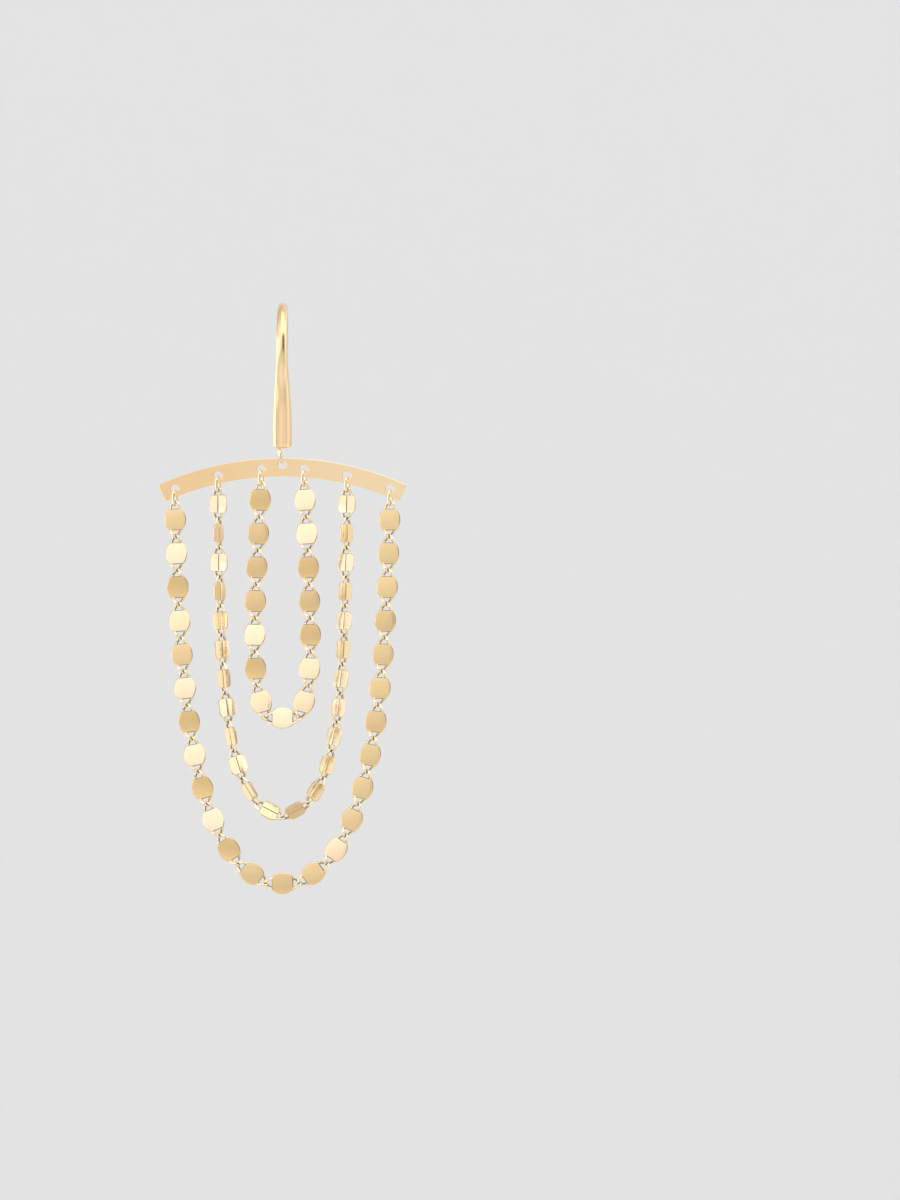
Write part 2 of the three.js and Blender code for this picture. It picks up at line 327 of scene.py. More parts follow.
def across_span(nodes, links, place, patch, span):
    """A share that grows from right to left, over a span of millimetres with a patchy edge."""
    across = nodes.new("ShaderNodeSeparateXYZ")
    links.new(place, across.inputs["Vector"])
    wander = nodes.new("ShaderNodeMath")
    wander.operation = "MULTIPLY_ADD"
    links.new(patch, wander.inputs[0])
    wander.inputs[1].default_value = -span * MM
    links.new(across.outputs["X"], wander.inputs[2])
    side = nodes.new("ShaderNodeMapRange")
    side.inputs["From Min"].default_value = span * MM / 2
    side.inputs["From Max"].default_value = -span * MM * 1.5
    links.new(wander.outputs["Value"], side.inputs["Value"])
    return side.outputs["Result"]


def by_painted_tones(nodes, links, surface):
    """A colour multiplied by the mesh's tones, painted reflection and painted shade."""
    tone_and_painted_light = nodes.new("ShaderNodeAttribute")
    tone_and_painted_light.attribute_name = "tone_and_painted_light"
    paint_over = nodes.new("ShaderNodeMix")
    paint_over.data_type = "RGBA"
    paint_over.blend_type = "MULTIPLY"
    paint_over.inputs["Factor"].default_value = 1.0
    links.new(surface, paint_over.inputs["A"])
    links.new(tone_and_painted_light.outputs["Color"], paint_over.inputs["B"])
    return paint_over.outputs["Result"]


print("a patch of colour is about", round(1 / PATCH_NOISE[0] / MM, 1), "mm wide")

# %% Gloss and relief
USUAL_NOISE = (0.3, 0.7)


def gloss_between(nodes, links, fine, roughness):
    """A roughness that goes from one value to the other with a noise."""
    gloss = nodes.new("ShaderNodeMapRange")
    gloss.inputs["From Min"].default_value = USUAL_NOISE[0]
    gloss.inputs["From Max"].default_value = USUAL_NOISE[1]
    gloss.inputs["To Min"].default_value = roughness[0]
    gloss.inputs["To Max"].default_value = roughness[1]
    links.new(fine, gloss.inputs["Value"])
    return gloss.outputs["Result"]


def relief(nodes, links, *layers):
    """Bumps laid one over another, each a height and its depth in millimetres."""
    below = None
    for height, depth in layers:
        bump = nodes.new("ShaderNodeBump")
        bump.inputs["Distance"].default_value = depth * MM
        links.new(height, bump.inputs["Height"])
        if below:
            links.new(below, bump.inputs["Normal"])
        below = bump.outputs["Normal"]
    return below


print("a wave is about", round(1 / WAVE_NOISE[0] / MM, 1), "mm long")


# %% A recipe for gold
def gold_finish(name, colour, deeper, roughness, wave, grain, painted=False, span=None):
    """A polished gold: two colours, a range of roughness, and the depth of wave and grain.

    A gold that takes painted tones is multiplied by its mesh's tones, painted reflection and
    painted shade, and a span in millimetres lets the colour go from one to the other across the
    earring.
    """
    finish = bpy.data.materials.new(name)
    finish.use_nodes = True
    nodes, links = finish.node_tree.nodes, finish.node_tree.links
    shader = nodes["Principled BSDF"]
    shader.inputs["Metallic"].default_value = 1.0
    place = nodes.new("ShaderNodeTexCoord").outputs["Object"]
    slow, fine, patch = (noise(nodes, links, place, *kind)
                         for kind in (WAVE_NOISE, GRAIN_NOISE, PATCH_NOISE))
    if span:
        patch = across_span(nodes, links, place, patch, span)
    alloy = nodes.new("ShaderNodeMix")
    alloy.data_type = "RGBA"
    alloy.inputs["A"].default_value = (*colour, 1)
    alloy.inputs["B"].default_value = (*deeper, 1)
    links.new(patch, alloy.inputs["Factor"])
    surface = alloy.outputs["Result"]
    # the mesh's tones, painted reflection and painted shade
    if painted:
        surface = by_painted_tones(nodes, links, surface)
    links.new(surface, shader.inputs["Base Color"])
    links.new(gloss_between(nodes, links, fine, roughness), shader.inputs["Roughness"])
    links.new(relief(nodes, links, (slow, wave), (fine, grain)), shader.inputs["Normal"])
    return finish


trial = gold_finish("trial_gold", (1, 1, 1), (1, 1, 1), (0, 1), wave=0.0, grain=0.0)
print("a gold is made of", len(trial.node_tree.nodes), "nodes")
bpy.data.materials.remove(trial)

# %% Three finishes
finishes = {
    "polished_gold": gold_finish(
        "buffed_metal", colour=(0.99, 0.775, 0.485), deeper=(0.97, 0.67, 0.355),
        roughness=(0.06, 0.16), wave=0.02, grain=0.0006, span=12.0),
    "wire_gold": gold_finish(
        "drawn_wire", colour=(0.97, 0.83, 0.60), deeper=(0.95, 0.78, 0.50),
        roughness=(0.05, 0.14), wave=0.01, grain=0.0006),
    # white, so the chain shows the tones, painted reflection and painted shade on its mesh
    "chain_gold": gold_finish(
        "pressed_links", colour=(1.0, 1.0, 1.0), deeper=(0.97, 0.95, 0.92),
        roughness=(0.10, 0.22), wave=0.02, grain=0.0008, painted=True),
}
print("finishes:", ", ".join(finishes))

# %% [markdown]
# ## From a shape to a piece
# Every piece is shaped as a bmesh in millimetres, in its real place. One helper brings it to
# metres, gives it a finish, and says which body it rides on and which plain solid it stands
# for.

# %% Making a piece
def make_piece(name, shape, body, slot, *nodes_replaced):
    """Finishes a shape in millimetres as a piece in metres, in place of CAD nodes."""
    bmesh.ops.scale(shape, vec=(MM, MM, MM), verts=shape.verts)
    mesh = bpy.data.meshes.new(name)
    shape.to_mesh(mesh)
    shape.free()
    mesh.materials.append(finishes[slot])
    piece = bpy.data.objects.new(name, mesh)
    bpy.context.scene.collection.objects.link(piece)
    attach(piece, body)
    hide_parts(*nodes_replaced)
    low, high = ([pick(c[i] for c in piece.bound_box) / MM for i in range(3)]
                 for pick in (min, max))
    print(name, "triangles:", sum(len(p.vertices) - 2 for p in mesh.polygons),
          "x y z mm:", *(f"{a:.2f}..{b:.2f}" for a, b in zip(low, high)))


def smooth_all(shape):
    """Smooths the shading of every face."""
    for face in shape.faces:
        face.smooth = True


print("each piece takes one of", len(finishes), "finishes")

# %% [markdown]
# ## Drawn wire
# Hook, rings and link ends are all wire: a round section drawn along a line. The line is a
# few measured points with a smooth curve through them. The section starts as a circle, and
# its edge is extruded from station to station, each time turned and sized by a matrix.

# %% Smooth lines
def smooth_line(rows, steps):
    """A smooth line through the rows, with so many steps to each span (Catmull-Rom)."""
    rows = [Vector(row) for row in rows]
    ends = [2 * rows[0] - rows[1], *rows, 2 * rows[-1] - rows[-2]]
    line = []
    for p in zip(ends, ends[1:], ends[2:], ends[3:]):
        t = [0.0]
        for a, b in zip(p, p[1:]):
            t.append(t[-1] + math.sqrt((b - a).length))
        for k in range(steps):
            at = t[1] + (t[2] - t[1]) * k / steps
            a = [p[i].lerp(p[i + 1], (at - t[i]) / (t[i + 1] - t[i])) for i in range(3)]
            b = [a[i].lerp(a[i + 1], (at - t[i]) / (t[i + 2] - t[i])) for i in range(2)]
            line.append(b[0].lerp(b[1], (at - t[1]) / (t[2] - t[1])))
    return line + [rows[-1]]


trial_line = smooth_line(((0, 0), (1, 1), (2, 0)), 4)
print("a line through three points, in four steps a span, has", len(trial_line), "points")


# %% Swept sections
def station(place, along, outward, width, thickness):
    """The matrix that carries a unit circle to its place across a wire."""
    along = along.normalized()
    outward = (outward - outward.project(along)).normalized()
    side = outward.cross(along)
    turned = Matrix((side * width / 2, outward * thickness / 2, along)).transposed().to_4x4()
    return Matrix.Translation(place) @ turned


def stations_along(places, outwards, widths, thicknesses):
    """Stations at the places, each square to the line through its neighbours."""
    made = []
    for i, place in enumerate(places):
        along = places[min(i + 1, len(places) - 1)] - places[max(i - 1, 0)]
        made.append(station(place, along, outwards[i], widths[i], thicknesses[i]))
    return made


def sweep(shape, stations, sides):
    """Draws a round section through the stations as a closed wire; returns its two ends."""
    ring = bmesh.ops.create_circle(shape, cap_ends=True, radius=1, segments=sides,
                                   matrix=stations[0])["verts"]
    first = list({edge for corner in ring for edge in corner.link_edges})
    edges = first
    for before, after in zip(stations, stations[1:]):
        grown = bmesh.ops.extrude_edge_only(shape, edges=edges)["geom"]
        ring = [part for part in grown if isinstance(part, bmesh.types.BMVert)]
        edges = [part for part in grown
                 if isinstance(part, bmesh.types.BMEdge) and part.is_boundary]
        bmesh.ops.transform(shape, matrix=after @ before.inverted(), verts=ring)
    bmesh.ops.edgeloop_fill(shape, edges=edges)
    return first, edges


trial = bmesh.new()
sweep(trial, [Matrix.Translation((0, 0, height)) for height in range(3)], 12)
print("a wire of twelve sides, drawn through three stations, has", len(trial.faces), "faces")
trial.free()

# %% [markdown]
# ## The ear hook
# The hook is one rod: thin and even where it goes through the ear, then swelling into a slim
# drop in front. It could be a curve with a bevel, but a swept section keeps its stations even,
# and its two ends can be bevelled: the tip round, so that it slides in, and the foot almost
# flat with soft corners.

# %% Hook
HOOK_ROWS = (  # y, z, diameter
    (4.30, -14.05, 0.84), (3.66, -12.50, 0.86), (3.34, -10.40, 0.86), (3.38, -6.70, 0.88),
    (3.38, -3.20, 0.92), (2.90, -1.34, 0.97), (1.68, 0.02, 1.05), (0.00, 0.548, 1.10),
    (-1.76, 0.00, 1.12), (-3.02, -1.60, 1.16), (-3.35, -3.45, 1.20), (-3.06, -5.50, 1.30),
    (-2.44, -7.36, 1.55), (-1.83, -9.75, 1.90), (-1.32, -11.92, 2.05), (-0.80, -14.45, 2.05))
HOOK_STEPS = 9
HOOK_SIDES = 40
TIP_SOFTNESS, TIP_SEGMENTS = 0.34, 6
FOOT_SOFTNESS, FOOT_SEGMENTS = 0.26, 5
CLEAR_OF_END = 0.45


def soften(shape, edges, softness, segments):
    """Rounds edges off with a bevel."""
    bmesh.ops.bevel(shape, geom=edges, affect="EDGES", offset=softness, segments=segments,
                    profile=0.5, material=-1)


rod_line = smooth_line(HOOK_ROWS, HOOK_STEPS)
rod_line = [row for row in rod_line if row in (rod_line[0], rod_line[-1])
            or min((row - rod_line[0]).length, (row - rod_line[-1]).length) > CLEAR_OF_END]
rod_places = [Vector((0, y, z)) for y, z, _ in rod_line]
rod_widths = [diameter for _, _, diameter in rod_line]
hook = bmesh.new()
tip, foot = sweep(hook, stations_along(rod_places, [Vector((1, 0, 0))] * len(rod_places),
                                       rod_widths, rod_widths), HOOK_SIDES)
soften(hook, tip, TIP_SOFTNESS, TIP_SEGMENTS)
soften(hook, foot, FOOT_SOFTNESS, FOOT_SEGMENTS)
bmesh.ops.recalc_face_normals(hook, faces=hook.faces)
smooth_all(hook)
print("the rod has", len(rod_line), "stations")
make_piece("swelling_hook", hook, "hook", "polished_gold", "ear_hook")

# %% [markdown]
# ## The eye under the hook
# A small loop of wire is soldered under the foot, and the bar hangs in it. A torus is a circle
# spun round a circle, and a long loop is a torus whose two halves are drawn apart. A drop of
# solder fills the corner between the loop and the foot. The eye is a piece of its own, because
# it is made of the paler drawn wire, and it rides on the same body as the hook. It was
# soldered on a little askew, so it slants down to the bar's hole.

# %% Long loops
LOOP_STEPS = 48
LOOP_SIDES = 18
ON_THE_LEVEL = 0.001


def long_loop(radius, wire, top, bottom):
    """An upright loop in the YZ plane, from the middle of its wire at top to that at bottom."""
    loop = bmesh.new()
    section = bmesh.ops.create_circle(loop, radius=wire / 2, segments=LOOP_SIDES,
                                      matrix=Matrix.Translation((0, radius, 0)))["verts"]
    bmesh.ops.spin(loop, geom=section + loop.edges[:], cent=(0, 0, 0), axis=(1, 0, 0),
                   angle=math.radians(360), steps=LOOP_STEPS, use_merge=True)
    stretch = (top - bottom) / 2 - radius
    for upper in (1, -1):
        half = [corner for corner in loop.verts if corner.co.z * upper > ON_THE_LEVEL]
        bmesh.ops.translate(loop, verts=half, vec=(0, 0, upper * stretch))
    bmesh.ops.translate(loop, verts=loop.verts, vec=(0, 0, (top + bottom) / 2))
    bmesh.ops.recalc_face_normals(loop, faces=loop.faces)
    return loop


def add_shape(whole, part, place=Matrix.Identity(4)):
    """Adds a part to a whole, carried by a matrix, and frees the part."""
    held = bpy.data.meshes.new("part")
    part.to_mesh(held)
    part.free()
    held.transform(place)
    whole.from_mesh(held)
    bpy.data.meshes.remove(held)


trial = long_loop(radius=0.5, wire=0.3, top=1.0, bottom=-1.0)
print("a long loop has", len(trial.faces), "faces")
trial.free()

# %% The eye
DROP_Y = -0.88
EYE = {"radius": 0.52, "wire": 0.33, "top": -14.50, "bottom": -16.15}
EYE_YAW = math.radians(7)
EYE_SLANT = math.radians(12)
SOLDER_Z = -14.47
SOLDER_SIZE = (0.34, 0.56, 0.26)
SOLDER_SEGMENTS = {"u_segments": 28, "v_segments": 14}

eye = bmesh.new()
add_shape(eye, long_loop(**EYE), Matrix.Rotation(-EYE_YAW, 4, "Z"))
solder = bmesh.new()
bmesh.ops.create_uvsphere(
    solder, radius=1, **SOLDER_SEGMENTS,
    matrix=Matrix.Translation((0, 0, SOLDER_Z)) @ Matrix.Diagonal((*SOLDER_SIZE, 1)))
add_shape(eye, solder)
bmesh.ops.rotate(eye, verts=eye.verts, cent=(0, 0, EYE["bottom"]),
                 matrix=Matrix.Rotation(-EYE_SLANT, 3, "Y"))
bmesh.ops.translate(eye, verts=eye.verts, vec=(0, DROP_Y, 0))
smooth_all(eye)
make_piece("hanging_eye", eye, "hook", "wire_gold", "ear_hook")

# %% [markdown]
# ## The crossbar
# The bar is sheet metal sawn to an arc and drilled seven times. A flat curve suits it: one
# closed line for the outline and one for each hole, filled, thickened and bevelled in one go.
# The curve is made a mesh while it still lies flat, and the mesh is then stood up.

# %% The bar's measures
BAR_TOP_Z = -15.64
BAR_OUTER_RADIUS = 32.6
BAR_HEIGHT = 1.95
BAR_THICKNESS = 0.40
BAR_HALF_ANGLE = math.radians(24.2)
BAR_EDGE = 0.07
BAR_CORNER = 0.14
HOLE_RADIUS = 0.45
TOP_HOLE_DEPTH = 0.65
LOWER_HOLE_RISE = 0.85
HOLE_SPANS = (2.31, 6.94, 11.57)
ARC_STEPS = 72
CORNER_STEPS = 6
HOLE_STEPS = 40
BAR_CENTRE_Z = BAR_TOP_Z - BAR_OUTER_RADIUS
LOWER_HOLE_RADIUS = BAR_OUTER_RADIUS - BAR_HEIGHT + LOWER_HOLE_RISE


def lower_hole_z(x):
    """The height of a lower hole's middle, x across from the bar's middle."""
    return BAR_CENTRE_Z + math.sqrt(LOWER_HOLE_RADIUS ** 2 - x ** 2)


print("the lower holes lie at z", [round(lower_hole_z(x), 2) for x in HOLE_SPANS])


# %% The bar's outline
def arc_points(centre, radius, start, finish, steps):
    """Points along an arc; angles run up from the right."""
    turns = [start + (finish - start) * k / steps for k in range(steps + 1)]
    return [(centre[0] + radius * math.cos(a), centre[1] + radius * math.sin(a)) for a in turns]


up = math.radians(90)
outline = []
for radius, way in ((BAR_OUTER_RADIUS, 1), (BAR_OUTER_RADIUS - BAR_HEIGHT, -1)):
    bend = radius - way * BAR_CORNER
    reach = BAR_HALF_ANGLE - math.asin(BAR_CORNER / bend)
    long_arc = arc_points((0, BAR_CENTRE_Z), radius, up - way * reach, up + way * reach,
                          ARC_STEPS)
    for turn, opening in ((up - way * reach, -up), (up + way * reach, up)):
        corner = (bend * math.cos(turn), BAR_CENTRE_Z + bend * math.sin(turn))
        facing = turn if way > 0 else turn + 2 * up
        round_corner = arc_points(corner, BAR_CORNER, *sorted((facing, facing + opening)),
                                  CORNER_STEPS)
        outline += round_corner[:-1] + long_arc if opening < 0 else round_corner[1:]
holes = [(0, BAR_TOP_Z - TOP_HOLE_DEPTH)]
holes += [(side * x, lower_hole_z(x)) for x in HOLE_SPANS for side in (-1, 1)]
print("the outline has", len(outline), "points, round", len(holes), "holes")

# %% Flat bar
flat_bar = bpy.data.curves.new("flat_bar", "CURVE")
flat_bar.dimensions = "2D"
flat_bar.fill_mode = "BOTH"
flat_bar.extrude = BAR_THICKNESS / 2 - BAR_EDGE
flat_bar.bevel_depth = BAR_EDGE
flat_bar.bevel_resolution = 3
flat_bar.offset = -BAR_EDGE
for line in [outline, *(arc_points(hole, HOLE_RADIUS, 0, math.radians(360), HOLE_STEPS)[:-1]
                        for hole in holes)]:
    spline = flat_bar.splines.new("POLY")
    spline.points.add(len(line) - 1)
    for point, (x, z) in zip(spline.points, line):
        point.co = (x, z, 0, 1)
    spline.use_cyclic_u = True
print("the flat curve has", len(flat_bar.splines), "closed lines")

# %% Crossbar
BAR_WELD = 0.0005
FACES_FRONT = 0.99

laid = bpy.data.objects.new("flat_bar", flat_bar)
laid_mesh = laid.to_mesh()
bar = bmesh.new()
bar.from_mesh(laid_mesh)
laid.to_mesh_clear()
bpy.data.objects.remove(laid)
bmesh.ops.remove_doubles(bar, verts=bar.verts, dist=BAR_WELD)
bmesh.ops.rotate(bar, verts=bar.verts, cent=(0, 0, 0), matrix=Matrix.Rotation(up, 3, "X"))
bmesh.ops.translate(bar, verts=bar.verts, vec=(0, DROP_Y, 0))
bmesh.ops.recalc_face_normals(bar, faces=bar.faces)
for face in bar.faces:
    face.smooth = abs(face.normal.y) < FACES_FRONT
make_piece("arched_bar", bar, "drop", "polished_gold", "crossbar")

# %% [markdown]
# ## The end rings
# Six long rings join the chains to the bar. Each hangs in its hole by its own weight, turned a
# little from edge-on, so from the front it shows as two bright lines side by side.

# %% Rings
RING = {"radius": 0.50, "wire": 0.30, "top": -0.13, "bottom": -1.74}
RING_YAW = math.radians(20)

for number, x in enumerate(sorted(side * span for span in HOLE_SPANS for side in (-1, 1))):
    ring = bmesh.new()
    add_shape(ring, long_loop(**RING),
              Matrix.Translation((x, DROP_Y, lower_hole_z(x)))
              @ Matrix.Rotation(-RING_YAW, 4, "Z"))
    smooth_all(ring)
    make_piece(f"hanging_ring_{number + 1}", ring, "drop", "wire_gold", f"end_ring_{number + 1}")

# %% [markdown]
# ## A flat link
# A mirror chain starts as plain round links. Rollers press the middle of each one flat, and
# its two ends stay as wire, so they can pass through their neighbours. The plate is a disc
# drawn to an oval with its two ends cut straight. It is thickened and its rim is softened.
# Then each face is extruded, drawn in and lifted a few times, which gives it a faint crown
# that spreads the reflection over the plate.

# %% Pressing
PLATE_THICKNESS = 0.20
RIM_SOFTNESS, RIM_SEGMENTS = 0.07, 3
LEVEL_EDGE = 0.01
TURNED_UP = 0.9


def press(blank, crown):
    """Gives a flat blank its thickness, soft rims and a faint crown on both faces."""
    grown = bmesh.ops.extrude_face_region(blank, geom=blank.faces[:])["geom"]
    raised = [part for part in grown if isinstance(part, bmesh.types.BMVert)]
    bmesh.ops.translate(blank, verts=raised, vec=(0, 0, PLATE_THICKNESS))
    bmesh.ops.translate(blank, verts=blank.verts, vec=(0, 0, -PLATE_THICKNESS / 2))
    bmesh.ops.recalc_face_normals(blank, faces=blank.faces)
    rim = [edge for edge in blank.edges
           if abs(edge.verts[0].co.z - edge.verts[1].co.z) < LEVEL_EDGE]
    soften(blank, rim, RIM_SOFTNESS, RIM_SEGMENTS)
    for upwards in (1, -1):
        face = max(blank.faces, key=lambda f: f.calc_area() * (f.normal.z * upwards > TURNED_UP))
        middle, before = face.calc_center_median(), 1.0
        for share, lift in crown:
            grown = bmesh.ops.extrude_face_region(blank, geom=[face])["geom"]
            face = next(part for part in grown if isinstance(part, bmesh.types.BMFace))
            raised = list(face.verts)
            bmesh.ops.scale(blank, verts=raised, vec=(share / before, share / before, 1),
                            space=Matrix.Translation(-middle))
            bmesh.ops.translate(blank, verts=raised, vec=(0, 0, lift * upwards))
            before = share
    bmesh.ops.rotate(blank, verts=blank.verts, cent=(0, 0, 0), matrix=Matrix.Rotation(up, 3, "X"))


trial = bmesh.new()
bmesh.ops.create_grid(trial, x_segments=1, y_segments=1, size=0.5)
press(trial, ((0.9, 0.01), (0.6, 0.01)))
print("a square, pressed with a crown of two steps, has", len(trial.faces), "faces")
trial.free()

# %% Oval plates
FLAT_LINK = {"pitch": 3.63, "joint": 1.32, "leg": 0.57, "tip": 0.42, "lit": 0.1,
             "twist": math.radians(45)}
OVAL = (1.15, 1.44)
OVAL_SIDES = 56
CROWN = ((0.96, 0.0025), (0.80, 0.0085), (0.60, 0.0090), (0.40, 0.0065),
         (0.20, 0.0040))  # share of the face, lift


def oval_plate():
    """The flat link's plate, its length along Z and its face along Y."""
    plate = bmesh.new()
    bmesh.ops.create_circle(plate, cap_ends=True, radius=1, segments=OVAL_SIDES)
    bmesh.ops.scale(plate, vec=(*OVAL, 1), verts=plate.verts)
    edge = (FLAT_LINK["pitch"] - FLAT_LINK["joint"]) / 2
    for end in (1, -1):
        bmesh.ops.bisect_plane(plate, geom=plate.verts[:] + plate.edges[:] + plate.faces[:],
                               plane_co=(0, end * edge, 0), plane_no=(0, end, 0),
                               clear_outer=True)
    press(plate, CROWN)
    return plate


trial = oval_plate()
print("an oval plate has", len(trial.faces), "faces and is",
      round(2 * max(v.co.y for v in trial.verts), 2), "mm thick")
trial.free()

# %% [markdown]
# ## A seamed link
# The middle chain's links were pressed harder: the loop's two sides meet in a seam and make
# two leaves. One leaf is a flat square drawn long. Its outer corners are rounded and its inner
# ones cut, which opens the seam into a small notch at each end. A copy turned half round makes
# the other, and a thin web closes the seam between them.

# %% Seamed plates
SEAMED_LINK = {"pitch": 3.13, "joint": 1.12, "leg": 0.58, "tip": 0.36, "lit": -0.85,
               "twist": 0.0}
LEAF_WIDTH = 1.02
SEAM_GAP = 0.04
SEAM_DEPTH = 0.04
WEB_OVERLAP = 0.01
LEAF_CORNER, CORNER_SEGMENTS = 0.54, 6
LEAF_NOTCH, NOTCH_SEGMENTS = 0.20, 2
LEAF_CROWN = ((0.94, 0.001), (0.60, 0.0015), (0.30, 0.0005))


def seamed_plate():
    """The seamed link's two leaves, their length along Z and their faces along Y."""
    both = bmesh.new()
    length = SEAMED_LINK["pitch"] - SEAMED_LINK["joint"]
    bmesh.ops.create_cube(both, size=1, matrix=Matrix.Diagonal((
        SEAM_GAP + 2 * WEB_OVERLAP, SEAM_DEPTH, length - 2 * LEAF_NOTCH, 1)))
    for side in (1, -1):
        leaf = bmesh.new()
        bmesh.ops.create_grid(leaf, x_segments=1, y_segments=1, size=0.5)
        bmesh.ops.scale(leaf, vec=(LEAF_WIDTH, length, 1), verts=leaf.verts)
        corners = leaf.verts[:]
        outer = [corner for corner in corners if corner.co.x > 0]
        inner = [corner for corner in corners if corner.co.x < 0]
        for chosen, reach, segments in ((outer, LEAF_CORNER, CORNER_SEGMENTS),
                                        (inner, LEAF_NOTCH, NOTCH_SEGMENTS)):
            bmesh.ops.bevel(leaf, geom=chosen, affect="VERTICES", offset=reach,
                            segments=segments, profile=0.5, material=-1)
        bmesh.ops.translate(leaf, verts=leaf.verts, vec=((LEAF_WIDTH + SEAM_GAP) / 2, 0, 0))
        press(leaf, LEAF_CROWN)
        add_shape(both, leaf, Matrix.Rotation(math.radians(0 if side > 0 else 180), 4, "Z"))
    return both


trial = seamed_plate()
print("a seamed plate has", len(trial.faces), "faces and is",
      round(2 * max(v.co.x for v in trial.verts), 2), "mm wide")
trial.free()

# %% [markdown]
# ## The wire arches
# At each end of a plate the wire rises as an arch, through the arch of the next link. On the
# flat chains the wire is also twisted by 45 degrees on its way up, one way at the start and
# the other at the end, so two flat plates can lie the same way while their arches cross.
# Where links crowd together, they shade one another, and that shade is painted on. So each face
# gets a measure of painted shade: in the seam, at a plate's cut ends and rim, and on the sides
# of the wire that face the opening.

# %% One arch
ARCH_WIRE = 0.29
ROOT_WIDTH = 0.34
ROOT_THICKNESS = 0.20
ARCH_ROOT = -0.10
ARCH_SHOULDER = 0.58
ARCH_BEND = 0.66
ARCH_FULLNESS = 0.05
CROSSING = 0.145
ARCH_STEPS = 5
ARCH_SIDES = 12


def smooth_step(value, low, high):
    """0 below low, 1 above high, and an even curve between."""
    share = min(max((value - low) / (high - low), 0.0), 1.0)
    return share * share * (3 - 2 * share)


def add_arch(shape, link, end, twist):
    """Adds one wire arch over an end (1 or -1) of a link, twisted about its length."""
    edge = (link["pitch"] - link["joint"]) / 2
    reach = link["joint"] / 2 + CROSSING
    shoulder = reach * ARCH_SHOULDER
    rising = [(link["leg"], ARCH_ROOT), (link["tip"], shoulder),
              (ARCH_BEND * link["tip"], (shoulder + reach) / 2 + ARCH_FULLNESS)]
    flat_line = smooth_line([(-across, above) for across, above in rising] + [(0, reach)]
                            + rising[::-1], ARCH_STEPS)
    places, outwards, widths, thicknesses = [], [], [], []
    for across, above in flat_line:
        risen = smooth_step(above, ARCH_ROOT, shoulder)
        turn = Matrix.Rotation(twist * risen, 3, "Z")
        places.append(turn @ Vector((across, 0, end * (edge + above))))
        outwards.append(turn @ Vector((0, 1, 0)))
        widths.append(ROOT_WIDTH + (ARCH_WIRE - ROOT_WIDTH) * risen)
        thicknesses.append(ROOT_THICKNESS + (ARCH_WIRE - ROOT_THICKNESS) * risen)
    sweep(shape, stations_along(places, outwards, widths, thicknesses), ARCH_SIDES)


trial = bmesh.new()
add_arch(trial, FLAT_LINK, 1, FLAT_LINK["twist"])
print("an arch has", len(trial.faces), "faces")
trial.free()

# %% One whole link
# where shade is painted on a link, and how much is painted on the wire, rim, seam and cut ends
OPENING = 0.25
FULLY_FACING = 0.9
RIM_TILT = 0.95
INSIDE_PAINTED_SHADE = 0.9
RIM_PAINTED_SHADE = 0.35
SEAM_PAINTED_SHADE = 0.9
WINDOW_PAINTED_SHADE = 0.85


def whole_link(link, plate, start_twist, finish_twist):
    """One link: its plate and its two arches, as a mesh that can be copied."""
    shape = plate()
    wire_layer = shape.faces.layers.float.new("wire")
    painted_shade_layer = shape.faces.layers.float.new("dark")
    edge = (link["pitch"] - link["joint"]) / 2
    # painted shade on the plate: in the seam, at the cut ends and on the rim
    for face in shape.faces:
        middle = face.calc_center_median()
        at_window = abs(middle.z) > edge - RIM_SOFTNESS and abs(middle.x) < link["leg"]
        in_seam = abs(middle.x) < SEAM_GAP / 2 + WEB_OVERLAP and plate is seamed_plate
        on_rim = abs(face.normal.y) < RIM_TILT
        face[painted_shade_layer] = SEAM_PAINTED_SHADE * in_seam or WINDOW_PAINTED_SHADE * at_window or RIM_PAINTED_SHADE * on_rim
    pressed = len(shape.faces)
    add_arch(shape, link, -1, start_twist)
    add_arch(shape, link, 1, -finish_twist)
    bmesh.ops.recalc_face_normals(shape, faces=shape.faces)
    shape.faces.ensure_lookup_table()
    # painted shade on the sides of the wire that face the opening, where neighbours cross
    for face in shape.faces[pressed:]:
        face[wire_layer] = 1.0
        middle = face.calc_center_median()
        opening = Vector((0, 0, math.copysign(edge + OPENING * link["joint"], middle.z)))
        facing = face.normal.dot((opening - middle).normalized())
        face[painted_shade_layer] = INSIDE_PAINTED_SHADE * smooth_step(facing, link["lit"], FULLY_FACING)
    smooth_all(shape)
    mesh = bpy.data.meshes.new("link")
    shape.to_mesh(mesh)
    shape.free()
    return mesh


trial = whole_link(FLAT_LINK, oval_plate, FLAT_LINK["twist"], FLAT_LINK["twist"])
print("a flat link has", len(trial.polygons), "faces")
bpy.data.meshes.remove(trial)

# %% [markdown]
# ## How a chain hangs
# A chain between two holes hangs in a curve: its links lie almost level at the lowest point and
# turn upwards step by step on both sides. The direction of each link follows from its number,
# counted from the middle. Both strands then lean by one small angle, found by halving, so that
# the chain just spans its two holes.

# %% Hanging directions
RISE_CURVE = 0.035
MOST_LEAN = math.radians(8)
LEAN_PASSES = 40
OUTER_RISE, MIDDLE_RISE, INNER_RISE = 0.70, 1.05, 2.40


def link_angles(count, rise, span, pitch):
    """Each link's own direction, in radians up from +X, from the chain's left end."""
    middle_link = (count - 1) / 2

    def leaning(lean):
        angles = []
        for i in range(count):
            u = rise * (i - middle_link)
            side = (i > middle_link) - (i < middle_link)
            angles.append(math.atan(u + RISE_CURVE * u ** 3) + side * lean)
        return angles

    low, high = -MOST_LEAN, MOST_LEAN
    for _ in range(LEAN_PASSES):
        trial_lean = (low + high) / 2
        if pitch * sum(math.cos(angle) for angle in leaning(trial_lean)) > 2 * span:
            low = trial_lean
        else:
            high = trial_lean
    return leaning(low)


angles = link_angles(25, OUTER_RISE, HOLE_SPANS[2], FLAT_LINK["pitch"])
print("the outer chain's 25 links point at", [round(math.degrees(a)) for a in angles])
